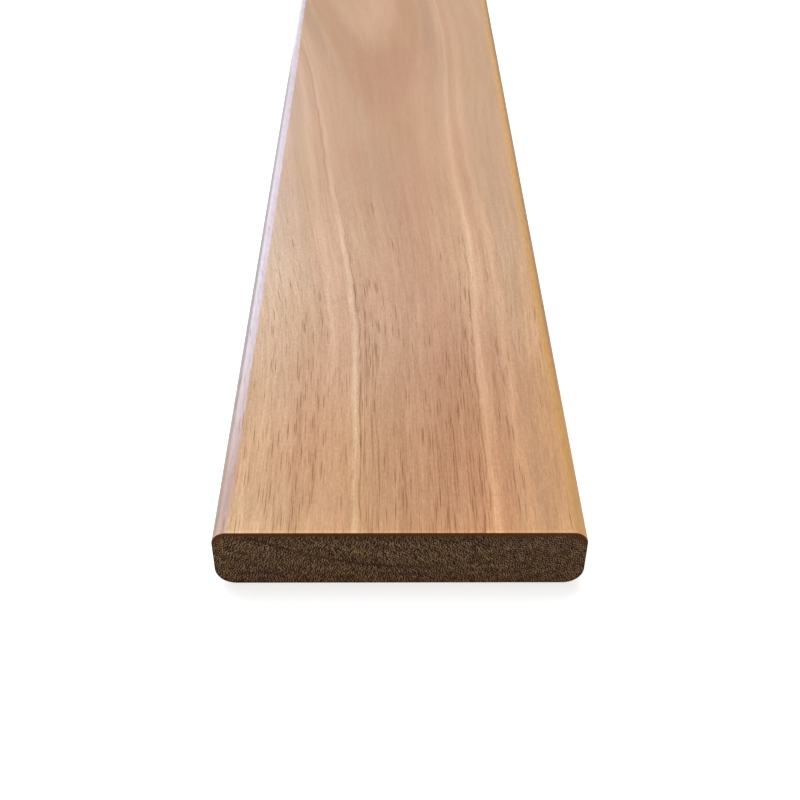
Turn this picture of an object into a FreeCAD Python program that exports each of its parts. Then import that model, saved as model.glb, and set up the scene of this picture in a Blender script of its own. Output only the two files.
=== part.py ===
"""Hardwood decking board: one sawn and planed piece, with its four long edges eased.

Lengths are in millimetres. X runs across the board, Y along it and Z up through its
thickness. The origin is the centre of the underside, so the board lies on Z = 0 with its
walking face up.
"""
import FreeCAD, Part
import math
import os

import Sketcher

NODE = "decking_board"

# The driving dimensions, each with the alias by which the board's features read it.
SIZES = [
    ("board_length", 1830, "sawn length, end to end"),
    ("board_width", 145, "planed width, edge to edge"),
    ("board_thickness", 28, "planed thickness, underside to walking face"),
    ("face_edge_radius", 6, "round on the two long edges of the walking face"),
    ("back_edge_radius", 8, "round on the two long edges of the underside"),
]

# A sketch counts the two ends of a curve up from 1, and its own two axes down from -1.
START, END = range(1, 3)
SKETCH_X_AXIS, SKETCH_Y_AXIS = range(-1, -3, -1)


def make_sheet(doc):
    """Write the driving dimensions into a spreadsheet, one aliased cell each."""
    sheet = doc.addObject("Spreadsheet::Sheet", "sizes")
    for row, (alias, value, meaning) in enumerate(SIZES, start=1):
        sheet.set("A" + str(row), alias)
        sheet.set("B" + str(row), str(value))
        sheet.setAlias("B" + str(row), alias)
        sheet.set("C" + str(row), meaning)
    doc.recompute()
    return sheet


def origin_plane(body, role):
    """Find one of the body's own origin planes."""
    for feature in body.Origin.OriginFeatures:
        if feature.Role == role:
            return feature
    raise ValueError("the body has no " + role)


def corner_arc(centre_x, centre_z, radius, start_degrees):
    """A quarter round of the section, counter-clockwise from start_degrees."""
    centre = FreeCAD.Vector(centre_x, centre_z, 0)
    circle = Part.Circle(centre, FreeCAD.Vector(0, 0, 1), radius)
    start = math.radians(start_degrees)
    return Part.ArcOfCircle(circle, start, start + math.pi / 2)


def draw_section(sketch, sheet):
    """Draw the moulded section: four flats joined by four tangent quarter rounds.

    The curves run counter-clockwise from the underside. Each is drawn at its place, and
    the constraints then hold it there, whatever the sheet's values become.
    """
    half_width = float(sheet.board_width) / 2
    top = float(sheet.board_thickness)
    face_round = float(sheet.face_edge_radius)
    back_round = float(sheet.back_edge_radius)

    def flat(x0, z0, x1, z1):
        return Part.LineSegment(FreeCAD.Vector(x0, z0, 0), FreeCAD.Vector(x1, z1, 0))

    face_x = half_width - face_round
    face_z = top - face_round
    back_x = half_width - back_round
    curves = [
        flat(-back_x, 0, back_x, 0),
        corner_arc(back_x, back_round, back_round, -90),
        flat(half_width, back_round, half_width, face_z),
        corner_arc(face_x, face_z, face_round, 0),
        flat(face_x, top, -face_x, top),
        corner_arc(-face_x, face_z, face_round, 90),
        flat(-half_width, face_z, -half_width, back_round),
        corner_arc(-back_x, back_round, back_round, 180),
    ]
    underside, back_right, right, face_right, face, face_left, left, back_left = (
        sketch.addGeometry(curves, False))

    ring = [underside, back_right, right, face_right, face, face_left, left, back_left]
    for curve, following in zip(ring, ring[1:] + ring[:1]):
        sketch.addConstraint(Sketcher.Constraint("Tangent", curve, END, following, START))
    sketch.addConstraint(Sketcher.Constraint("Vertical", right))
    sketch.addConstraint(Sketcher.Constraint("Vertical", left))
    sketch.addConstraint(Sketcher.Constraint("Horizontal", face))
    sketch.addConstraint(
        Sketcher.Constraint("Symmetric", underside, START, underside, END, SKETCH_Y_AXIS))
    sketch.addConstraint(
        Sketcher.Constraint("PointOnObject", underside, START, SKETCH_X_AXIS))
    sketch.addConstraint(Sketcher.Constraint("Equal", face_right, face_left))
    sketch.addConstraint(Sketcher.Constraint("Equal", back_right, back_left))

    dimensions = [
        ("Radius", (face_right,), face_round, "face_edge_radius"),
        ("Radius", (back_right,), back_round, "back_edge_radius"),
        ("DistanceX", (left, START, right, START), 2 * half_width, "board_width"),
        ("DistanceY", (underside, START, face, START), top, "board_thickness"),
    ]
    for kind, points, value, alias in dimensions:
        index = sketch.addConstraint(Sketcher.Constraint(kind, *points, value))
        sketch.renameConstraint(index, alias)
        sketch.setExpression("Constraints." + alias, "sizes." + alias)


def make_board(doc, sheet):
    """The board: its section, drawn upright, run out to the sawn length both ways."""
    body = doc.addObject("PartDesign::Body", "Board")
    body.Label = NODE

    section = body.newObject("Sketcher::SketchObject", "BoardSection")
    section.AttachmentSupport = [(origin_plane(body, "XZ_Plane"), "")]
    section.MapMode = "FlatFace"
    draw_section(section, sheet)
    doc.recompute()

    run = body.newObject("PartDesign::Pad", "BoardRun")
    run.Profile = section
    run.SideType = "Symmetric"
    run.setExpression("Length", "sizes.board_length")
    doc.recompute()
    return body


def check_document(doc, pieces):
    """Stop if a feature failed or a piece isn't one sound solid."""
    for item in doc.Objects:
        if "Invalid" in item.State or "Error" in item.State:
            raise RuntimeError(item.Name + " failed: " + str(item.State))
    for piece in pieces:
        shape = piece.Shape
        if shape.isNull() or not shape.isValid() or len(shape.Solids) != 1:
            raise RuntimeError(piece.Label + " isn't one valid solid")


def write_steps(pieces):
    """Write each piece to its own file, named by its label."""
    os.makedirs("parts", exist_ok=True)
    for piece in pieces:
        piece.Shape.exportStep("parts/" + piece.Label + ".step")
        box = piece.Shape.BoundBox
        print(piece.Label,
              "X %.2f to %.2f, Y %.2f to %.2f, Z %.2f to %.2f mm" % (
                  box.XMin, box.XMax, box.YMin, box.YMax, box.ZMin, box.ZMax),
              "volume %.0f mm3" % piece.Shape.Volume)


def main():
    doc = FreeCAD.newDocument("DeckingBoard")
    sheet = make_sheet(doc)
    pieces = [make_board(doc, sheet)]
    check_document(doc, pieces)
    write_steps(pieces)


main()
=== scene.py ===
# %% [markdown]
# # A hardwood decking board
#
# The object is one plank of hardwood, planed smooth, with its four long edges rounded over
# and its ends sawn square. Nothing is fastened to it, so the whole lesson is about one
# piece: a mesh with the plank's true section and the small relief that planing and sawing
# leave, and a wood that runs through it in three dimensions, so that the streaks on the
# face, on the edges and on the sawn ends belong to the same tree.

# %% Open the frame
import math

import bmesh
import bpy
from mathutils import Matrix, Vector


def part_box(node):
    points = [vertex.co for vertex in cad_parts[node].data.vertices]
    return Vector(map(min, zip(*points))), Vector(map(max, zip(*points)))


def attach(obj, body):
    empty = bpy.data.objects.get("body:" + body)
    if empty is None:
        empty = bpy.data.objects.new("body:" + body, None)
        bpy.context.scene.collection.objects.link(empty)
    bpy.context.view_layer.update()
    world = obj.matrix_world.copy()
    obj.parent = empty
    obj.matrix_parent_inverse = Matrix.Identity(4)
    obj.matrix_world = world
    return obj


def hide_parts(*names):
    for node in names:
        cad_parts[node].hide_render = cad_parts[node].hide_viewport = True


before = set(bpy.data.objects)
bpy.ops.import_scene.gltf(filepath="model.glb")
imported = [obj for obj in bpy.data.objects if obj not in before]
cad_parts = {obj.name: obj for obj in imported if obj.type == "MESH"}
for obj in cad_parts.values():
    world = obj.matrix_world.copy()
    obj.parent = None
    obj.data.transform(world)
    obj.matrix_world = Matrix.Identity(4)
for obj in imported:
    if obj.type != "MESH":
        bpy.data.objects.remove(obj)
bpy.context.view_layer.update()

MM = 0.001
TAU = 2 * math.pi
low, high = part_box("decking_board")
size = high - low
middle = (low + high) / 2
print("board, mm:", [round(side / MM, 2) for side in size])

# %% [markdown]
# ## The camera
#
# The photograph was taken from above the near end, looking along the board, close enough
# for the far end to run out of the picture. The lens and the three angles below are the
# ones at which this board's outline falls where it does in the photograph. A camera looks
# down its own -Z with +Y up, so its matrix is built from the direction it looks in, tipped
# down by the pitch, turned by the yaw and rolled about the line of sight.

# %% Place the camera
LENS = 51.37
PITCH = math.radians(39.01)
YAW = math.radians(0.817)
ROLL = math.radians(0.532)
CAMERA_PLACE = Vector((-4.9 * MM, low.y - 306.2 * MM, 341.4 * MM))
SENSOR_WIDTH = 36
SEEN_FROM = 10 * MM

ahead = Vector((math.sin(YAW), math.cos(YAW), 0))
forward = ahead * math.cos(PITCH) - Vector((0, 0, math.sin(PITCH)))
level_right = Vector((math.cos(YAW), -math.sin(YAW), 0))
level_up = level_right.cross(forward)
right = level_right * math.cos(ROLL) + level_up * math.sin(ROLL)
up = right.cross(forward)

lens = bpy.data.cameras.new("camera")
lens.lens = LENS
lens.sensor_width = SENSOR_WIDTH
lens.clip_start = SEEN_FROM
camera = bpy.data.objects.new("camera", lens)
turn = Matrix((right, up, -forward)).transposed().to_4x4()
camera.matrix_world = Matrix.Translation(CAMERA_PLACE) @ turn
bpy.context.scene.collection.objects.link(camera)
bpy.context.scene.camera = camera
bpy.context.scene.view_settings.view_transform = "Standard"
print("camera", [round(c, 3) for c in CAMERA_PLACE], "lens", LENS)

# %% [markdown]
# ## Sums in nodes
#
# Wood needs a lot of arithmetic in its nodes. Wiring each Math node by hand hides the sum,
# so the class below stands for one value in a node tree and adds the node when it is added
# to, multiplied or compared. The same sums then work in a material and in Geometry Nodes.


# %% Values and noise in a node tree
def plug(tree, value, slot):
    """Put a number, a colour or another node's output into a node's input."""
    if isinstance(value, Term):
        tree.links.new(value.socket, slot)
    else:
        slot.default_value = value


class Term:
    """A value in a node tree. Arithmetic on it adds Math nodes, so sums read as sums."""

    def __init__(self, tree, socket):
        self.tree = tree
        self.socket = socket

    def math(self, operation, *others):
        node = self.tree.nodes.new("ShaderNodeMath")
        node.operation = operation
        for slot, value in zip(node.inputs, (self, *others)):
            plug(self.tree, value, slot)
        return Term(self.tree, node.outputs[0])

    def __add__(self, other):
        return self.math("ADD", other)

    def __sub__(self, other):
        return self.math("SUBTRACT", other)

    def __mul__(self, other):
        return self.math("MULTIPLY", other)

    def __truediv__(self, other):
        return self.math("DIVIDE", other)

    def __rsub__(self, other):
        return (self * -1) + other

    __radd__ = __add__

    def rise(self, start, end):
        """0 up to start and 1 from end on, with a soft step between them."""
        node = self.tree.nodes.new("ShaderNodeMapRange")
        node.interpolation_type = "SMOOTHSTEP"
        for name, value in (("Value", self), ("From Min", start), ("From Max", end)):
            plug(self.tree, value, node.inputs[name])
        return Term(self.tree, node.outputs["Result"])

    def fall(self, start, end):
        """1 up to start and 0 from end on."""
        return 1 - self.rise(start, end)

    def band(self, centre, flat, soft):
        """1 within flat of the centre, and 0 from soft further out."""
        return (self - centre).math("ABSOLUTE").fall(flat, flat + soft)


def join_axes(tree, x, y, z):
    node = tree.nodes.new("ShaderNodeCombineXYZ")
    for slot, value in zip(node.inputs, (x, y, z)):
        plug(tree, value, slot)
    return Term(tree, node.outputs[0])


def centred(tree, socket):
    """Spread values that bunch up around a half, so that they mostly fill -1 to 1."""
    return (Term(tree, socket) - 0.5) * 4


def noise(tree, place, detail=2.0):
    """Smooth random values around 0, mostly between -1 and 1, with features one unit wide."""
    node = tree.nodes.new("ShaderNodeTexNoise")
    node.inputs["Scale"].default_value = 1.0
    node.inputs["Detail"].default_value = detail
    plug(tree, place, node.inputs["Vector"])
    return centred(tree, node.outputs[0])


def patches(tree, across, up, wide, tall, seed, detail=1.0):
    """Random values over a flat cut, in patches so wide and so tall."""
    return noise(tree, join_axes(tree, across * (1 / wide), up * (1 / tall), seed), detail)


def strokes(tree, place, patch, number, order):
    """Strokes across X, so many to a patch of that width. Order 1 lines them all up."""
    node = tree.nodes.new("ShaderNodeTexGabor")
    node.inputs["Scale"].default_value = 1 / patch
    node.inputs["Anisotropy"].default_value = order
    node.inputs["Orientation"].default_value = 0.0
    plug(tree, number, node.inputs["Frequency"])
    plug(tree, place, node.inputs["Vector"])
    return centred(tree, node.outputs["Value"])


def seeds(tree, place):
    """Points strewn one to a unit cube: the distance to the nearest, and its own random number."""
    node = tree.nodes.new("ShaderNodeTexVoronoi")
    node.inputs["Scale"].default_value = 1.0
    plug(tree, place, node.inputs["Vector"])
    axes = tree.nodes.new("ShaderNodeSeparateXYZ")
    tree.links.new(node.outputs["Color"], axes.inputs[0])
    return Term(tree, node.outputs["Distance"]), Term(tree, axes.outputs[0])


# %% Colours in a node tree
def linear(red, green, blue):
    """A colour picked on a screen, 0 to 255, as the linear colour that a shader takes."""
    def one(level):
        level = level / 255
        return level / 12.92 if level <= 0.04045 else ((level + 0.055) / 1.055) ** 2.4
    return (one(red), one(green), one(blue), 1.0)


def blend_colours(tree, amount, first, second, way="MIX"):
    """Go from the first colour to the second by an amount, or combine them another way."""
    node = tree.nodes.new("ShaderNodeMix")
    node.data_type = "RGBA"
    node.blend_type = way
    node.clamp_factor = True
    colours = [slot for slot in node.inputs if slot.type == "RGBA"]
    plug(tree, amount, node.inputs["Factor"])
    plug(tree, first, colours[0])
    plug(tree, second, colours[1])
    return Term(tree, next(slot for slot in node.outputs if slot.type == "RGBA"))


def tint(tree, colour, amount, red, green, blue):
    """Multiply a colour by three factors, as far as the amount says."""
    return blend_colours(tree, amount, colour, (red, green, blue, 1.0), "MULTIPLY")


def shade(tree, colour, factor):
    """Make a wood colour lighter or darker. As in real wood, what is darker is also warmer."""
    factors = join_axes(tree, factor, factor.math("POWER", 1.3), factor.math("POWER", 1.6))
    return blend_colours(tree, 1.0, colour, factors, "MULTIPLY")


def colour_stops(tree, value, start, end, stops):
    """A colour that runs through (value, colour) stops placed between start and end."""
    node = tree.nodes.new("ShaderNodeValToRGB")
    ramp = node.color_ramp
    while len(ramp.elements) < len(stops):
        ramp.elements.new(1.0)
    for element, (place, colour) in zip(ramp.elements, stops):
        element.position = (place - start) / (end - start)
        element.color = linear(*colour)
    plug(tree, (value - start) / (end - start), node.inputs["Fac"])
    return Term(tree, node.outputs["Color"])


# %% [markdown]
# ## The floor and the light
#
# The board lies on a white studio floor under soft light. The main lamp is a wide softbox
# above the far half of the board, so the walking face is evenly bright and the sawn end,
# which faces the camera, stays in shade. A cool lamp low on the left, well ahead of the
# camera, is what the left rounded edge reflects. It gives that edge a real shine, over the
# pale reflection that is also painted into its colour. To the camera and in reflections the
# floor glows a little, so that it comes out white, but it stays matt and keeps the board's
# soft contact shadow.

# %% Floor
FLOOR_SIZE = 12.0
FLOOR_WHITE = 0.80
FLOOR_GLOW = 0.67

bpy.ops.object.select_all(action="DESELECT")
bpy.ops.mesh.primitive_plane_add(size=FLOOR_SIZE, location=(0, 0, low.z))
floor = bpy.context.object
floor.name = "studio_floor"
bpy.ops.object.transform_apply(location=True, rotation=True, scale=True)


def seen_directly(tree):
    """1 where the camera, a reflection or a clear pane looks, and 0 where light is gathered."""
    path = tree.nodes.new("ShaderNodeLightPath")
    seen = Term(tree, path.outputs["Is Camera Ray"]) + Term(tree, path.outputs["Is Glossy Ray"])
    return (seen + Term(tree, path.outputs["Is Transmission Ray"])).math("MINIMUM", 1.0)


paper = bpy.data.materials.new("white_paper")
paper.use_nodes = True
tree = paper.node_tree
tree.nodes.clear()
matt = tree.nodes.new("ShaderNodeBsdfDiffuse")
matt.inputs["Color"].default_value = (FLOOR_WHITE, FLOOR_WHITE, FLOOR_WHITE, 1)
glow = tree.nodes.new("ShaderNodeEmission")
plug(tree, seen_directly(tree) * FLOOR_GLOW, glow.inputs["Strength"])
both = tree.nodes.new("ShaderNodeAddShader")
tree.links.new(matt.outputs[0], both.inputs[0])
tree.links.new(glow.outputs[0], both.inputs[1])
output = tree.nodes.new("ShaderNodeOutputMaterial")
tree.links.new(both.outputs[0], output.inputs["Surface"])
floor.data.materials.append(paper)
print("floor, m:", FLOOR_SIZE)

# %% World
SKY_LIGHT = 0.30

world = bpy.data.worlds.new("studio")
world.use_nodes = True
bpy.context.scene.world = world
tree = world.node_tree
tree.nodes.clear()
sky = tree.nodes.new("ShaderNodeBackground")
plug(tree, seen_directly(tree) * (1 - SKY_LIGHT) + SKY_LIGHT, sky.inputs["Strength"])
sky.inputs["Color"].default_value = (1, 1, 1, 1)
output = tree.nodes.new("ShaderNodeOutputWorld")
tree.links.new(sky.outputs[0], output.inputs["Surface"])
print("sky:", SKY_LIGHT)


# %% Lamps
def add_softbox(name, place, target, wide, tall, watts, colour=(1, 1, 1)):
    """A rectangular lamp of that size, facing its target."""
    lamp = bpy.data.lights.new(name, "AREA")
    lamp.shape = "RECTANGLE"
    lamp.size = wide
    lamp.size_y = tall
    lamp.energy = watts
    lamp.color = colour
    holder = bpy.data.objects.new(name, lamp)
    holder.location = place
    holder.rotation_euler = (Vector(target) - Vector(place)).to_track_quat("-Z", "Y").to_euler()
    bpy.context.scene.collection.objects.link(holder)
    print(name, watts, "W")


COOL = (0.66, 0.8, 1.0)

add_softbox("main_softbox", (-0.3, 0.5, 2.2), (0, 0, 0), wide=2.6, tall=2.6, watts=55)
add_softbox(
    "left_window", (-1.6, 1.1, 0.62), (0, -0.75, 0), wide=1.3, tall=0.8, watts=12, colour=COOL)

# %% [markdown]
# ## The plank
#
# A plank like this is run through a moulder, which planes all four sides and rounds the
# long edges in one pass, and is then cross-cut with a saw. It could be made by extruding a
# section, but starting from a box is how one would do it by hand: a cube at the plank's
# size, its two upper edges bevelled to 6 mm and its two lower ones to 8 mm, and the sharp
# corner all round each sawn end broken by a quarter of a millimetre. The faces are then cut
# finely, because the relief that comes later needs vertices to move: half a millimetre
# across the grain, where the surface changes quickly, and centimetres along it.


# %% Helpers that select by place
STRAIGHT = 0.999


def edit(piece, mode="EDGE"):
    """Start editing a piece, and return its editable mesh with nothing selected."""
    if piece.mode != "EDIT":
        bpy.ops.object.mode_set(mode="EDIT")
    bpy.ops.mesh.select_mode(type=mode)
    bpy.ops.mesh.select_all(action="DESELECT")
    return bmesh.from_edit_mesh(piece.data)


def pick_edges(piece, wanted):
    """Select the edges that pass a test on their two ends, and count them."""
    mesh = edit(piece)
    picked = [edge for edge in mesh.edges if wanted(edge.verts[0].co, edge.verts[1].co)]
    for edge in picked:
        edge.select_set(True)
    bmesh.update_edit_mesh(piece.data)
    return len(picked)


def runs_along(start, end, axis, at_least=0.0):
    """Whether an edge runs along one axis only, and is long enough."""
    step = end - start
    return abs(step[axis]) > max(at_least, STRAIGHT * step.length)


# %% Box with rounded long edges
FACE_ROUND = 6 * MM
BACK_ROUND = 8 * MM
FACE_STEPS = 18
BACK_STEPS = 24
ARRIS = 0.25 * MM
ARRIS_STEPS = 2
HAIR = 0.001 * MM

bpy.ops.object.select_all(action="DESELECT")
bpy.ops.mesh.primitive_cube_add(size=1, location=middle, scale=size)
board = bpy.context.object
board.name = "planed_board"
bpy.ops.object.transform_apply(location=True, rotation=True, scale=True)

pick_edges(board, lambda a, b: runs_along(a, b, 1) and a.z > middle.z)
bpy.ops.mesh.bevel(offset=FACE_ROUND, offset_type="OFFSET", segments=FACE_STEPS, affect="EDGES")
pick_edges(board, lambda a, b: runs_along(a, b, 1) and a.z < low.z + HAIR)
bpy.ops.mesh.bevel(offset=BACK_ROUND, offset_type="OFFSET", segments=BACK_STEPS, affect="EDGES")
ends = pick_edges(board, lambda a, b: not runs_along(a, b, 1))
bpy.ops.mesh.bevel(offset=ARRIS, offset_type="OFFSET", segments=ARRIS_STEPS, affect="EDGES")
print("edges broken at the sawn ends:", ends)

# %% Open the ends
# The two end faces are taken out while the long faces are cut, and come back as grids.
mesh = edit(board, "FACE")
for face in mesh.faces:
    face.select_set(len(face.verts) > 4)
bmesh.update_edit_mesh(board.data)
bpy.ops.mesh.delete(type="ONLY_FACE")

# %% Rings along the length
RINGS = 88
CROWDING = 0.7


def station(share):
    """A place along the board. Stations crowd towards both ends, where one looks closest."""
    return low.y + size.y * (share - CROWDING * math.sin(TAU * share) / TAU)


edit(board)
for ring in range(1, RINGS):
    bpy.ops.mesh.select_all(action="SELECT")
    bpy.ops.mesh.bisect(plane_co=(0, station(ring / RINGS), 0), plane_no=(0, 1, 0))
print("first ring, mm from the end:", round((station(1 / RINGS) - low.y) / MM, 1))

# %% Strips across the flats
# The two wide flats are cut in two steps, because one subdivision makes at most a hundred
# cuts. The two narrow ones need only one.
FACE_STRIPS = (14, 19)
BACK_STRIPS = (13, 20)
EDGE_STRIPS = (28,)
LONG_ENOUGH = 1.5 * MM


def split_flats(wanted, strips):
    """Cut the picked edges into as many equal strips as the product of the steps."""
    for step in strips:
        pick_edges(board, wanted)
        bpy.ops.mesh.subdivide(number_cuts=step - 1)


split_flats(lambda a, b: runs_along(a, b, 0, LONG_ENOUGH) and a.z > middle.z, FACE_STRIPS)
split_flats(lambda a, b: runs_along(a, b, 0, LONG_ENOUGH) and a.z < middle.z, BACK_STRIPS)
split_flats(lambda a, b: runs_along(a, b, 2, LONG_ENOUGH), EDGE_STRIPS)

# %% Grids on the sawn ends
# Grid Fill needs to know one corner of the grid and how many faces lie between it and the
# next. The corners are put at the middle of each round, so the squares stay even.
END_SPAN = math.prod(FACE_STRIPS) + FACE_STEPS
ROUND_MIDDLE = FACE_ROUND * (1 - math.sqrt(0.5))
corner_place = Vector((high.x - ROUND_MIDDLE, 0, high.z - ROUND_MIDDLE))

for end in (low.y, high.y):
    mesh = edit(board, "VERT")
    rim = [edge for edge in mesh.edges if edge.is_boundary and abs(edge.verts[0].co.y - end) < HAIR]
    for edge in rim:
        edge.select_set(True)
    corner_place.y = end
    corner = min(
        {vert for edge in rim for vert in edge.verts},
        key=lambda vert: (vert.co - corner_place).length)
    mesh.select_history.add(corner)
    bmesh.update_edit_mesh(board.data)
    bpy.ops.mesh.fill_grid(span=END_SPAN, offset=0, use_interp_simple=True)

mesh = edit(board)
bpy.ops.mesh.select_all(action="SELECT")
bpy.ops.mesh.normals_make_consistent(inside=False)
bpy.ops.object.mode_set(mode="OBJECT")
board.data.calc_loop_triangles()
print("triangles:", len(board.data.loop_triangles))

# %% [markdown]
# ## The tree inside the plank
#
# Wood isn't a picture on a surface. Every point of the plank lay somewhere in a trunk: so
# far out from the pith, so far round it and so far up the tree. This plank was sawn flat,
# with the pith about 130 mm above its walking face, so the growth rings meet the face at a
# flat angle in its middle and steeply at its sides. The pith wanders, as in any real tree,
# and where it comes nearer to the face the rings open into tongues. The class below turns
# a place on the plank into a place in the trunk, in millimetres, and both the colour and
# the relief are worked out from it.

# %% Places in the trunk
PITH_X = 10.0
PITH_Z = 160.0
PITH_SWAY = 32.3
PITH_SWAY_LENGTH = 2200.0
PITH_DIP = 2.2
PITH_DIP_MORE = 7.7
PITH_DIP_LENGTH = 1400.0
WAVE_LENGTH = 337.0
WAVE_ASIDE = 1.8
WAVE_ASIDE_PHASE = 5.25
WAVE_DEEP = 0.4
WAVE_DEEP_PHASE = 0.59
WAVES_GROW = (60, 220)
RING_WANDER = 0.18
PALE_RING = 134.91
PALE_REACH = 27.9


class Trunk:
    """The coordinates of a point in the tree, as Terms of one node tree, in millimetres."""

    def __init__(self, tree, place):
        axes = tree.nodes.new("ShaderNodeSeparateXYZ")
        plug(tree, place, axes.inputs[0])
        self.tree = tree
        self.x, y, self.z = (Term(tree, socket) * (1 / MM) for socket in axes.outputs)
        self.along = y - low.y / MM
        sway = 1 - (self.along * (TAU / PITH_SWAY_LENGTH)).math("COSINE")
        self.dip = (1 - (self.along * (TAU / PITH_DIP_LENGTH)).math("COSINE")) * 0.5
        waves = self.along * (TAU / WAVE_LENGTH)
        wavy = self.along.rise(*WAVES_GROW)
        aside = (waves + WAVE_ASIDE_PHASE).math("SINE") * wavy * WAVE_ASIDE
        deep = (waves + WAVE_DEEP_PHASE).math("SINE") * wavy * WAVE_DEEP
        sideways = self.x + sway * PITH_SWAY - aside - PITH_X
        pith_height = deep - self.dip * PITH_DIP - self.dip * self.dip * PITH_DIP_MORE + PITH_Z
        below_pith = pith_height - self.z
        self.radius = (sideways * sideways + below_pith * below_pith).math("SQRT")
        face_depth = pith_height - size.z / MM
        pale_reach = (PALE_RING ** 2 - face_depth * face_depth).math("SQRT")
        self.across = sideways / pale_reach * PALE_REACH
        self.ring = self.radius + self.streaks(9, 22, 2.2) * RING_WANDER
        self.vigour = self.from_end().fall(150, 340) * 0.7 + 0.3

    def from_end(self):
        """How far it is to the nearer sawn end."""
        return self.along.math("MINIMUM", size.y / MM - self.along)

    def from_outline(self):
        """How far inside the outline of the section a place lies."""
        half_width = size.x / 2 / MM
        half_height = size.z / 2 / MM
        upper = self.z.rise(half_height - 0.5, half_height + 0.5)
        corner = BACK_ROUND / MM - upper * ((BACK_ROUND - FACE_ROUND) / MM)
        out_x = self.x.math("ABSOLUTE") - half_width + corner
        out_z = (self.z - half_height).math("ABSOLUTE") - half_height + corner
        beyond_x = out_x.math("MAXIMUM", 0)
        beyond_z = out_z.math("MAXIMUM", 0)
        outside = (beyond_x * beyond_x + beyond_z * beyond_z).math("SQRT")
        return corner - outside - out_x.math("MAXIMUM", out_z).math("MINIMUM", 0)

    def streaks(self, width, length, seed, detail=2.0):
        """Random streaks along the grain, so wide and so long in millimetres."""
        place = join_axes(self.tree, self.across * (1 / width), self.z * (1 / width),
                          self.along * (1 / length) + seed)
        return noise(self.tree, place, detail)

    def ring_streaks(self, thick, width, length, seed, detail=2.0):
        """Random streaks that follow the growth rings: thin outwards, wide round the ring."""
        place = join_axes(self.tree, self.radius * (1 / thick), self.across * (1 / width),
                          self.along * (1 / length) + seed)
        return noise(self.tree, place, detail)

    def layer(self, inner, outer, soft):
        """1 in the wood that grew between two distances from the pith."""
        return self.ring.rise(inner - soft, inner + soft) * self.ring.fall(outer - soft, outer + soft)

    def vessels(self, pitch, length, width, seed):
        """The open pores: how far into one, 1 at its middle, and a random number for each."""
        place = join_axes(self.tree, self.across * (1 / pitch), self.z * (1 / pitch),
                          self.along * (1 / length) + seed)
        distance, chance = seeds(self.tree, place)
        reach = width / 2 / pitch
        return distance.fall(reach * 0.35, reach * 1.3), chance


def round_a_centre(trunk, centre_x, centre_z):
    """A place on the section as seen from a centre: how far round it, and how far out."""
    aside = trunk.x - centre_x
    above = trunk.z - centre_z
    start = 1 if centre_z < 0 else -1
    turn = aside.math("ARCTAN2", above * start)
    return turn * abs(centre_z), (aside * aside + above * above).math("SQRT")


# %% [markdown]
# ## A map of the surface
#
# The board needs a map that lays its surface out flat, so that its colours can be baked into
# a picture. The four long sides unroll into one sheet: across the map goes the way round the
# section, starting in the middle of the underside, and up the map goes the length. The two
# sawn ends lie side by side above it.

# %% Lay the surface out flat
SHEET_TOP = 0.80
ENDS_FROM = 0.82
END_WIDE = 0.48
END_MIDDLE = 0.25
END_SCALE = END_WIDE / size.x
FACES_END_ON = 0.99


def girth(x, z):
    """The way round half the section, from the middle of the underside to (|x|, z)."""
    back_x = size.x / 2 - BACK_ROUND
    face_x = size.x / 2 - FACE_ROUND
    face_z = size.z - FACE_ROUND
    quarter = math.pi / 2
    if z <= BACK_ROUND:
        if x <= back_x:
            return x
        return back_x + BACK_ROUND * math.atan2(x - back_x, BACK_ROUND - z)
    side_from = back_x + BACK_ROUND * quarter
    if z <= face_z:
        return side_from + z - BACK_ROUND
    round_from = side_from + face_z - BACK_ROUND
    if x > face_x:
        return round_from + FACE_ROUND * math.atan2(z - face_z, x - face_x)
    return round_from + FACE_ROUND * quarter + face_x - x


half_girth = girth(0, size.z)
bpy.ops.mesh.uv_texture_add()
layout = board.data.uv_layers.active
layout.name = "OFBake"
for face in board.data.polygons:
    on_end = abs(face.normal.y) > FACES_END_ON
    beside = 0.5 if face.center.y > middle.y else 0
    for loop in face.loop_indices:
        place = board.data.vertices[board.data.loops[loop].vertex_index].co
        if on_end:
            u = END_MIDDLE + (place.x - middle.x) * END_SCALE + beside
            v = ENDS_FROM + (place.z - low.z) * END_SCALE
        else:
            u = girth(abs(place.x), place.z - low.z) / half_girth / 2
            u = 1 - u if face.center.x < middle.x else u
            v = SHEET_TOP * (place.y - low.y) / size.y
        layout.data[loop].uv = (u, v)
print("once round the board, mm:", round(2 * half_girth / MM, 1))

# %% [markdown]
# ## The relief of planing and sawing
#
# A planed hardwood face isn't quite flat. The softer fibres spring back and stand a few
# hundredths of a millimetre proud of their neighbours, in long low ridges along the grain.
# The saw leaves more: shallow arcs, one for each tooth that stood out a little, and small
# pits where it tore the end of a fibre bundle. Both are real shape, so they go into the
# mesh, with Geometry Nodes that use the same places in the trunk as the colours do. The
# saw's arcs are circles about a point below the board on the left, and the pits lie along
# rays from a point above its face. The relief only ever goes inward, and fades out before
# the edges, which stay crisp.

# %% Relief
SAW_X = -110.0
SAW_Z = -170.0
RAY_X = -15.0
RAY_Z = 90.0
PLANED_DEPTH = 0.03
SAW_DEPTH = 0.02
SAW_FEED = 2.3


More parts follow.
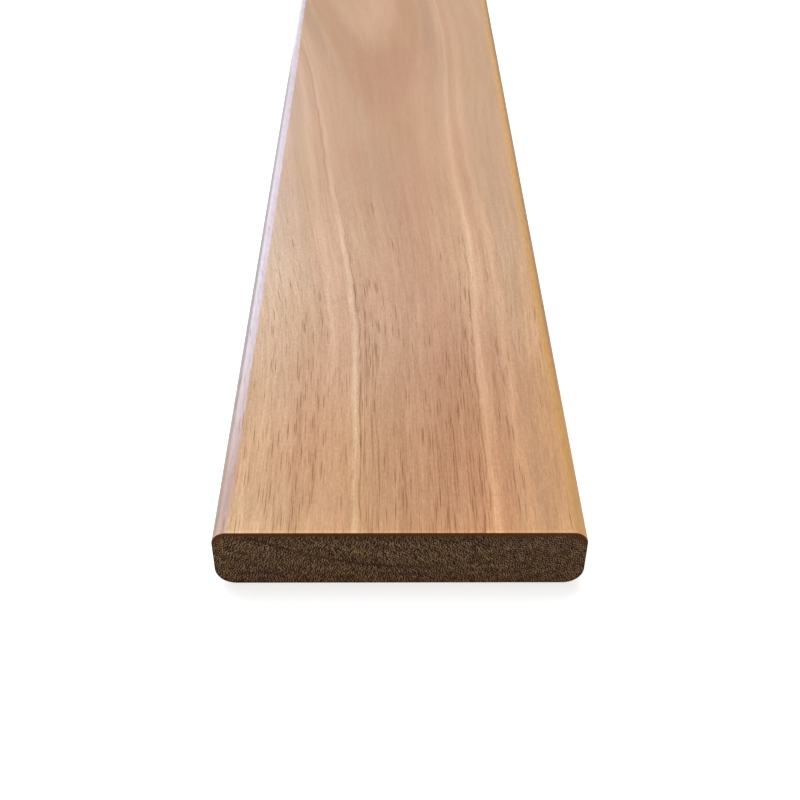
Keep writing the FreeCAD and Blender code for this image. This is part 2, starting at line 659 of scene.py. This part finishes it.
def relief_nodes():
    tree = bpy.data.node_groups.new("wood_relief", "GeometryNodeTree")
    tree.interface.new_socket("Geometry", in_out="INPUT", socket_type="NodeSocketGeometry")
    tree.interface.new_socket("Geometry", in_out="OUTPUT", socket_type="NodeSocketGeometry")
    start = tree.nodes.new("NodeGroupInput")
    move = tree.nodes.new("GeometryNodeSetPosition")
    end = tree.nodes.new("NodeGroupOutput")
    tree.links.new(start.outputs[0], move.inputs["Geometry"])
    tree.links.new(move.outputs[0], end.inputs[0])
    trunk = Trunk(tree, Term(tree, tree.nodes.new("GeometryNodeInputPosition").outputs[0]))
    ridges = trunk.streaks(2.2, 70, 9.4) * 0.012 + trunk.streaks(1.0, 40, 3.3) * 0.010
    rings = trunk.ring_streaks(2.0, 60, 420, 1.7) * 0.012
    planed = (ridges + rings + PLANED_DEPTH).math("MAXIMUM", 0) * trunk.from_end().rise(1.5, 12)
    sweep, over = round_a_centre(trunk, SAW_X, SAW_Z)
    wander = patches(tree, sweep, over, 25, 6, 1.5)
    arcs = ((over * (1 / SAW_FEED) + wander * 0.6) * TAU).math("SINE") * SAW_DEPTH
    turn, reach = round_a_centre(trunk, RAY_X, RAY_Z)
    pits = patches(tree, turn, reach, 0.8, 2.0, 7.1).rise(0.2, 1.1)
    torn = trunk.ring_streaks(2.6, 9, 500, 8.8).rise(-0.2, 0.6)
    pitted = pits * (torn * 0.05 + 0.03)
    sawn = (arcs + pitted + SAW_DEPTH) * trunk.from_outline().rise(0.35, 1.3)
    on_end = trunk.from_end().fall(0.02, 0.1)
    depth = planed * (1 - on_end) + sawn * on_end
    inward = tree.nodes.new("ShaderNodeVectorMath")
    inward.operation = "SCALE"
    tree.links.new(tree.nodes.new("GeometryNodeInputNormal").outputs[0], inward.inputs[0])
    plug(tree, depth * -MM, inward.inputs["Scale"])
    tree.links.new(inward.outputs[0], move.inputs["Offset"])
    return tree


bpy.ops.object.modifier_add(type="NODES")
relief = board.modifiers[-1]
relief.node_group = relief_nodes()
flat = [vert.co.copy() for vert in board.data.vertices]
bpy.ops.object.modifier_apply(modifier=relief.name)
moved = [(vert.co - before).length / MM for vert, before in zip(board.data.vertices, flat)]
print("relief, mm: deepest", round(max(moved), 3), "mean", round(sum(moved) / len(moved), 3))

# %% [markdown]
# ## The planed faces
#
# Planing lays the grain open. On the walking face of this board one sees, from large to
# small: a pale left third and a browner middle, because the saw ran through wood of
# different years; tongues where the rings lie almost flat to the face; two long pale
# streaks where one pale growth layer comes to the surface left and right of the pith; fine
# fibres; and the pores, vessels cut open lengthwise, as dark dashes 3 to 8 mm long. Each of
# these is a layer of nodes, and each reads the place in the trunk, so that they bend
# together.

# %% Growth layers and broad colour
def heartwood(tree, trunk):
    """The broad colours: from side to side, and in the growth layers that reach the face."""
    colour = colour_stops(tree, trunk.across, -75, 75, [
        (-72, (226, 194, 166)),
        (-58, (221, 188, 160)),
        (-43, (218, 180, 151)),
        (-33, (219, 180, 151)),
        (-21, (208, 167, 137)),
        (-6, (204, 160, 130)),
        (9, (206, 160, 129)),
        (20, (209, 164, 132)),
        (28, (221, 176, 142)),
        (36, (214, 172, 139)),
        (46, (208, 167, 136)),
        (56, (216, 172, 134)),
    ])
    # Painted shade: darker and a little less red over a long stretch beyond the near end, where the
    # light falls off. The same curve also sets the pith's dip.
    colour = shade(tree, colour, 1 - trunk.dip * 0.13)
    colour = tint(tree, colour, trunk.dip, 0.94, 0.985, 1.0)
    colour = tint(tree, colour, trunk.ring.fall(124.8, 126.2), 1.06, 1.09, 1.10)
    colour = tint(tree, colour, trunk.layer(126.0, 129.2, 0.7), 0.94, 0.90, 0.87)
    tongue = trunk.layer(129.6, 130.9, 0.15) * trunk.x.fall(0.4, 1.4)
    colour = tint(tree, colour, tongue, 0.98, 1.02, 1.03)
    far = trunk.along.rise(390, 520) * trunk.layer(130.2, 133.0, 0.8)
    colour = tint(tree, colour, far, 0.89, 0.86, 0.88)
    tongue_tip = trunk.x.band(-20, 6, 12) * trunk.along.rise(470, 560)
    colour = tint(tree, colour, tongue_tip, 1.07, 1.10, 1.12)
    duller = trunk.across.band(26, 3, 5) * trunk.along.rise(300, 440)
    colour = tint(tree, colour, duller, 0.94, 0.96, 0.98)
    tanned = trunk.across.rise(36, 48) * trunk.along.band(120, 40, 60)
    colour = tint(tree, colour, tanned, 0.98, 0.94, 0.87)
    colour = tint(tree, colour, trunk.along.band(180, 25, 60), 1.035, 1.05, 1.05)
    blush = trunk.streaks(17, 90, 6.7, 3.0)
    colour = tint(tree, colour, blush.rise(0.1, 1.0), 1.01, 0.955, 0.965)
    return tint(tree, colour, blush.fall(-1.0, -0.1), 0.985, 1.0, 0.95)


def near_end_warmth(tree, trunk, colour):
    """Towards the sawn end the wood is yellower, and along the cut itself it is lighter."""
    colour = tint(tree, colour, trunk.along.fall(15, 150), 0.98, 0.875, 0.715)
    dusk = trunk.across.band(24, 10, 14) * trunk.along.band(90, 20, 80)
    colour = tint(tree, colour, dusk, 0.93, 0.89, 0.87)
    shadow = trunk.across.band(-49, 2, 7) * trunk.along.fall(100, 170)
    colour = tint(tree, colour, shadow, 0.95, 0.92, 0.90)
    ruddy = trunk.across.fall(-45, -20) * trunk.along.band(90, 45, 55)
    colour = tint(tree, colour, ruddy, 0.99, 0.93, 0.91)
    colour = tint(tree, colour, trunk.from_end().fall(2, 18), 1.07, 1.08, 1.04)
    return tint(tree, colour, trunk.from_end().fall(0.3, 2.2), 1.17, 1.19, 1.21)


def streak_layers(tree, trunk, colour):
    """The two pale streaks of one growth layer, each with a dark line on its inner side."""
    blurred = trunk.along.rise(180, 340) * 0.16 + 0.09
    on_the_right = trunk.across.rise(-5, 5)
    pale = trunk.layer(134.60, 135.23, blurred) * (trunk.streaks(0.5, 30, 8.2) * 0.6 + 0.9)
    pale = pale * (1.4 - blurred * 3) * (1 - on_the_right * trunk.along.fall(200, 420) * 0.45)
    colour = tint(tree, colour, pale, 1.115, 1.18, 1.23)
    halo = trunk.layer(134.2, 135.6, 0.3) * on_the_right * trunk.along.fall(330, 420)
    colour = tint(tree, colour, halo, 1.025, 1.04, 1.045)
    core = trunk.ring.band(134.95, 0.1, 0.15) * trunk.along.fall(80, 220) * (1 - on_the_right * 0.5)
    colour = tint(tree, colour, core, 1.06, 1.10, 1.13)
    between = trunk.layer(135.6, 137.5, 0.25) * on_the_right * trunk.along.fall(200, 320)
    colour = tint(tree, colour, between, 0.965, 0.94, 0.93)
    broken = trunk.streaks(3, 22, 6.1).rise(-0.5, 0.2) * trunk.along.fall(190, 350)
    colour = tint(tree, colour, trunk.ring.band(134.47, 0.02, 0.09) * broken, 0.76, 0.68, 0.60)
    outside = trunk.ring.band(135.5, 0.1, 0.2) * trunk.along.band(350, 70, 60)
    colour = tint(tree, colour, outside * trunk.across.fall(0, 10), 0.91, 0.87, 0.84)
    colour = tint(tree, colour, trunk.layer(135.4, 137.0, 0.25), 0.975, 0.945, 0.935)
    lighter = trunk.layer(137.3, 138.5, 0.3) * (trunk.along.band(290, 60, 150) * 0.6 + 0.4)
    colour = tint(tree, colour, lighter, 1.04, 1.055, 1.06)
    rosy = trunk.layer(137.7, 138.9, 0.3) * on_the_right * trunk.along.fall(200, 320)
    colour = tint(tree, colour, rosy, 1.08, 1.065, 1.04)
    greyer = trunk.layer(139.3, 142.0, 0.8) * trunk.along.rise(80, 180)
    colour = tint(tree, colour, greyer, 0.94, 0.955, 0.945)
    # Painted reflection: a cool tint on the left of the face stands in for the reflection of the cool
    # lamp.
    painted_cool_reflection = trunk.x.fall(-66, -48) * trunk.along.band(310, 60, 100)
    return tint(tree, colour, painted_cool_reflection, 1.0, 1.03, 1.12)


# %% [markdown]
# ## Fibres and pores
#
# Below the growth layers in size come the fibres and the pores. Fibres are streaks of noise
# along the grain, from finger-wide to hair-thin, used as a factor around 1. A pore is a
# vessel that the plane has cut open lengthwise. Points strewn through the trunk and drawn
# out along the grain give one dark dash each, and slower noise decides how many of them are
# open. So they stand in rows, crowd beside the pale layer and are rare inside it. Near the
# sawn end, and just inside the pale layer, whole rows run together into long thin lines.

# %% Lighter and darker fibres, open pores
def fibres(tree, trunk):
    """Lighter and darker fibres, as a factor around 1, from finger-wide to hair-thin."""
    fine = trunk.streaks(2.2, 70, 9.4) * 0.09 + trunk.streaks(1.0, 30, 3.3, 3.0) * 0.11
    fine = fine + trunk.streaks(0.45, 7, 7.9) * 0.10 + trunk.streaks(0.8, 2.0, 2.9, 1.0) * 0.09
    broad = trunk.ring_streaks(3.0, 30, 420, 1.7) * 0.03 + trunk.streaks(7, 110, 5.1) * 0.05
    return 1 + broad + fine * trunk.vigour


def pores(trunk):
    """How open the pores are here, 0 to 1: dark dashes in rows, thicker on the ground in places."""
    cut, chance = trunk.vessels(0.66, 18, 0.50, 0.3)
    rows = trunk.streaks(1.2, 80, 4.4) * 0.42
    clumps = trunk.streaks(14, 80, 8.4, 1.0) * 0.16
    beside_pale = trunk.layer(133.3, 134.5, 0.2) * trunk.from_end().fall(130, 260) * 0.35
    on_the_left = trunk.across.band(-54, 9, 8) * trunk.from_end().fall(130, 220) * 0.2
    fewer = trunk.across.rise(32, 42) * 0.25 + trunk.layer(134.55, 135.3, 0.1) * 0.7
    fewer = fewer + trunk.across.band(-34, 4, 5) * 0.2
    crowd = rows + clumps + beside_pale + on_the_left - fewer - 0.12
    crowd = crowd + trunk.from_end().fall(110, 260) * 0.44 - trunk.from_end().rise(240, 380) * 0.4
    return cut * (crowd - chance).rise(-0.05, 0.15)


def drawn_out_pores(trunk):
    """Rows of pores that read as long thin lines: near the end, and inside the pale layer."""
    middle_lines = trunk.streaks(0.45, 55, 12.7, 1.0).rise(0.25, 0.85)
    middle_lines = middle_lines * trunk.across.band(9, 15, 8) * trunk.from_end().fall(50, 130)
    ring_lines = trunk.ring_streaks(0.09, 300, 60, 4.7, 1.0).rise(0.15, 0.7)
    ring_lines = ring_lines * trunk.layer(133.1, 134.45, 0.2) * trunk.from_end().fall(110, 230)
    return middle_lines.math("MAXIMUM", ring_lines)


def fine_pores(trunk):
    """The small pores between the large ones."""
    cut, chance = trunk.vessels(0.5, 12, 0.26, 6.6)
    return cut * chance.rise(0.3, 0.9) * trunk.vigour


# %% [markdown]
# ## The rounded edges
#
# The two rounds beside the walking face differ from it and from each other. The left one is
# given a pale lavender colour that is a painted reflection of the cool lamp, over the little
# real shine that it has. Painted shade turns it grey where it goes over into the side, and a
# painted reflection turns it near white further along. The right one is honey brown and matt,
# with painted shade on its outer part. Each colour starts where the round starts, but its
# border is ragged, as a colour that soaks and wears along the fibres would be: a little noise
# is added to the place before it is compared with the border.

# %% Colours of the rounds
ROUND_STARTS = (size.x / 2 - FACE_ROUND) / MM


def rounded_edges(tree, trunk, colour):
    """Lay the left round's painted reflection and shade, and the honey right round with its painted
    shade, over the face.
    """
    upper = trunk.z.rise(21, 24.5)
    ragged = trunk.streaks(0.8, 6, 1.9) * 0.4
    narrower = trunk.along.rise(420, 540) * 1.2
    left = (ragged - trunk.x - narrower).rise(ROUND_STARTS - 0.7, ROUND_STARTS + 0.4) * upper
    # Painted reflection: the left round gets a pale lavender colour that stands in for the cool
    # lamp's reflection, over the real shine that its lower roughness gives.
    painted_sheen_left = left * (trunk.along.rise(-10, 150) * 0.7 + 0.25 + ragged * 0.3)
    # Painted shade: the left round turns grey where it curves down towards the side, away from the
    # light.
    painted_shade_turning = trunk.z.fall(26.2, 27.2) * trunk.along.fall(390, 500)
    pale = blend_colours(tree, painted_shade_turning * 0.9, linear(228, 212, 222), linear(146, 136, 142))
    # Painted reflection: the pale colour is darker further along the board.
    pale = tint(tree, pale, trunk.along.rise(250, 560), 0.82, 0.80, 0.80)
    # Painted reflection: far along the board, the outer part of the left round goes near white, as a
    # reflection at a grazing angle does.
    painted_grazing_glare = trunk.z.fall(25.8, 27.0) * trunk.along.rise(420, 520)
    pale = blend_colours(tree, painted_grazing_glare * 0.8, pale, linear(246, 243, 248))
    pale = shade(tree, pale, 1 + trunk.streaks(1.1, 9, 5.6) * 0.09)
    colour = blend_colours(tree, painted_sheen_left, colour, pale)
    # Painted reflection: towards the near end the left round fades to a darker tan.
    colour = tint(tree, colour, left * trunk.along.fall(15, 100), 0.82, 0.79, 0.83)
    # Painted shade: near the end, the outer part of the left round is darker and cooler.
    painted_cool_shade = left * trunk.z.fall(25.0, 26.5) * trunk.along.fall(40, 120)
    colour = tint(tree, colour, painted_cool_shade, 0.84, 0.88, 0.96)
    right_round = (trunk.x + ragged * 1.6).rise(ROUND_STARTS - 0.5, ROUND_STARTS + 1.2) * upper
    lower = trunk.z.fall(25.8, 27.4)
    # Painted shade: the right round darkens towards its outer side, which turns away from the light,
    # more so further along. The honey brown itself is the wood's colour.
    outer = lower * (trunk.along.rise(30, 160) * 0.7 + trunk.along.rise(350, 520) * 0.3)
    honey = blend_colours(tree, outer, linear(221, 168, 98), linear(136, 103, 74))
    # Painted shade: the honey is darker further along the board, and on its outer part around 350 mm.
    honey = tint(tree, honey, trunk.along.rise(380, 560), 0.90, 0.92, 1.0)
    honey = tint(tree, honey, lower * trunk.along.band(350, 70, 70), 0.84, 0.89, 0.91)
    honey = shade(tree, honey, 1 + trunk.streaks(0.9, 5, 6.4) * 0.13)
    shown = right_round * (trunk.along.rise(-20, 70) * 0.4 + 0.45 + ragged * 0.35)
    return blend_colours(tree, shown, colour, honey)


# %% [markdown]
# ## Putting the planed wood together
#
# The layers go on in the order in which they lie in the wood: broad colours first, pores
# last, because a pore is a hole through all of them. The same values also drive the sheen
# and the grooves. Open pores are duller than the polished wood round them, and both the
# pores and the dark fibres lie a few hundredths of a millimetre deep.

# %% The planed material
def wood_material(name):
    """A new material, with its node tree, its shader and the places in the trunk."""
    material = bpy.data.materials.new(name)
    material.use_nodes = True
    tree = material.node_tree
    place = Term(tree, tree.nodes.new("ShaderNodeTexCoord").outputs["Object"])
    return material, tree, tree.nodes["Principled BSDF"], Trunk(tree, place)


def planed_material():
    material, tree, shader, trunk = wood_material("planed_hardwood")
    colour = heartwood(tree, trunk)
    colour = near_end_warmth(tree, trunk, colour)
    colour = streak_layers(tree, trunk, colour)
    grain = fibres(tree, trunk)
    colour = shade(tree, colour, grain)
    colour = rounded_edges(tree, trunk, colour)
    large = pores(trunk)
    small = fine_pores(trunk)
    colour = tint(tree, colour, drawn_out_pores(trunk) * 0.7, 0.62, 0.50, 0.40)
    colour = tint(tree, colour, large * 0.9, 0.56, 0.43, 0.32)
    colour = tint(tree, colour, small * 0.5, 0.70, 0.60, 0.52)
    plug(tree, colour, shader.inputs["Base Color"])
    polish = (trunk.x * -1).rise(ROUND_STARTS - 1, ROUND_STARTS + 2) * 0.26
    polish = polish + trunk.x.rise(ROUND_STARTS - 1, ROUND_STARTS + 2) * 0.10
    plug(tree, 0.62 - polish + large * 0.2 + (grain - 1) * 0.3, shader.inputs["Roughness"])
    shader.inputs["Specular IOR Level"].default_value = 0.25
    grooves = tree.nodes.new("ShaderNodeBump")
    grooves.inputs["Strength"].default_value = 0.5
    grooves.inputs["Distance"].default_value = 0.1 * MM
    plug(tree, (grain - 1) * 0.8 - large * 0.8 - small * 0.3, grooves.inputs["Height"])
    tree.links.new(grooves.outputs["Normal"], shader.inputs["Normal"])
    return material


board.data.materials.append(planed_material())
print("nodes in the planed wood:", len(board.data.materials[0].node_tree.nodes))

# %% [markdown]
# ## The sawn ends
#
# A cut across the grain opens thousands of vessels and fibres, which trap the light, so the
# end is far darker than the face. Its texture is short strokes, light and dark, a millimetre
# apart: torn fibre ends that lean outwards like a fan, away from a point above the face.
# Noise has no such regular spacing, so they come from a Gabor texture, which fills random
# patches with parallel strokes. Its number of strokes grows with the distance from the
# fan's point, which keeps them a millimetre apart. Over them lie tufts a little coarser than
# the strokes, faint growth layers, one dark layer from the upper left to the middle, and the
# sweeps of the saw, which press the strokes flat in places. The upper edge is scorched.

# %% Sawn end grain
FLECK_PATCH = 1.2
FLECK_SPACING = 1.0
FLECK_LEAN = 0.5
FLECK_SHORTER = 1.2
TUFT = 1.8
DARK_RING = 150.8


def end_material():
    material, tree, shader, trunk = wood_material("sawn_end_grain")
    turn, reach = round_a_centre(trunk, RAY_X, RAY_Z)
    fan = join_axes(tree, turn, reach * FLECK_SHORTER, 0)
    number = reach * (FLECK_PATCH / FLECK_SPACING / RAY_Z)
    flecks = strokes(tree, fan, FLECK_PATCH, number, FLECK_LEAN)
    tufts = patches(tree, turn, reach, TUFT, TUFT, 3.3)
    bands = trunk.ring_streaks(2.6, 45, 500, 8.8)
    sweep, over = round_a_centre(trunk, SAW_X, SAW_Z)
    smooth = patches(tree, sweep, over, 13, 3.5, 5.5).rise(0.1, 0.9)
    scratches = patches(tree, sweep, over, 9, 0.7, 2.5)
    wander = patches(tree, trunk.x, trunk.z, 6, 6, 1.9, detail=2.0) * 0.5
    dark_ring = (trunk.radius + wander).band(DARK_RING, 0.3, 0.9) * trunk.x.fall(-5, 30)
    dark_ring = dark_ring * (scratches * 0.5 + 0.8)
    rim = trunk.from_outline().fall(0.2, 1.4)
    value = flecks * (4.8 - smooth * 1.9) + tufts * 1.4 + scratches * 0.5
    value = value * (1 - dark_ring * 0.7) - dark_ring * 0.7 - rim * 0.6 + smooth * 0.3 - 0.05
    colour = colour_stops(tree, value, -2.8, 2.8, [
        (-2.8, (8, 4, 2)),
        (-1.0, (43, 26, 14)),
        (0, (89, 62, 40)),
        (1.0, (129, 97, 67)),
        (2.8, (170, 136, 99)),
    ])
    colour = tint(tree, colour, smooth, 1.02, 1.08, 1.0)
    colour = shade(tree, colour, 1 + bands * 0.17)
    wiped = (trunk.x * 0.32 + trunk.z).band(-0.4, 0.4, 1.3) * trunk.x.band(-20, 8, 8)
    colour = tint(tree, colour, wiped, 1.22, 1.20, 1.16)
    colour = tint(tree, colour, trunk.z.fall(20, 24), 1.05, 1.01, 0.94)
    # Painted light: the lower part of the sawn end is made lighter, to offset the shade that falls on
    # it near the floor.
    colour = tint(tree, colour, trunk.z.fall(2, 11), 1.10, 1.10, 1.10)
    colour = tint(tree, colour, trunk.z.rise(21.5, 25), 0.80, 0.78, 0.74)
    scorched = trunk.from_outline().fall(1.0, 2.8) * trunk.z.rise(19, 25)
    colour = blend_colours(tree, scorched * 0.85, colour, linear(99, 54, 18))
    plug(tree, colour, shader.inputs["Base Color"])
    shader.inputs["Roughness"].default_value = 0.85
    shader.inputs["Specular IOR Level"].default_value = 0.2
    return material


board.data.materials.append(end_material())
print("nodes in the end grain:", len(board.data.materials[1].node_tree.nodes))

# %% Put each material on its faces
# End grain shows on the sawn faces and on the strip of the broken edge that leans least
# away from them. Faces meet smoothly up to 22 degrees. That keeps the rounds and the relief
# soft, and leaves the two narrow strips of each broken edge flat, so that they don't dull
# the face beside them.
FACES_NEARLY_END_ON = 0.8
SMOOTH_UP_TO = math.radians(22)

mesh = edit(board, "FACE")
for face in mesh.faces:
    from_cut = min(abs(vert.co.y - end) for vert in face.verts for end in (low.y, high.y))
    face.select_set(abs(face.normal.y) > FACES_NEARLY_END_ON and from_cut < ARRIS)
bmesh.update_edit_mesh(board.data)
board.active_material_index = 1
bpy.ops.object.material_slot_assign()
bpy.ops.object.mode_set(mode="OBJECT")
bpy.ops.object.shade_smooth_by_angle(angle=SMOOTH_UP_TO)
print("faces of end grain:", sum(face.material_index for face in board.data.polygons))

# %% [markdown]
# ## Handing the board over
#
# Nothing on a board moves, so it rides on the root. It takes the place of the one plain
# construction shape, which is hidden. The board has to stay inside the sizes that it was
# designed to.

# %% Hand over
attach(board, "root")
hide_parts("decking_board")
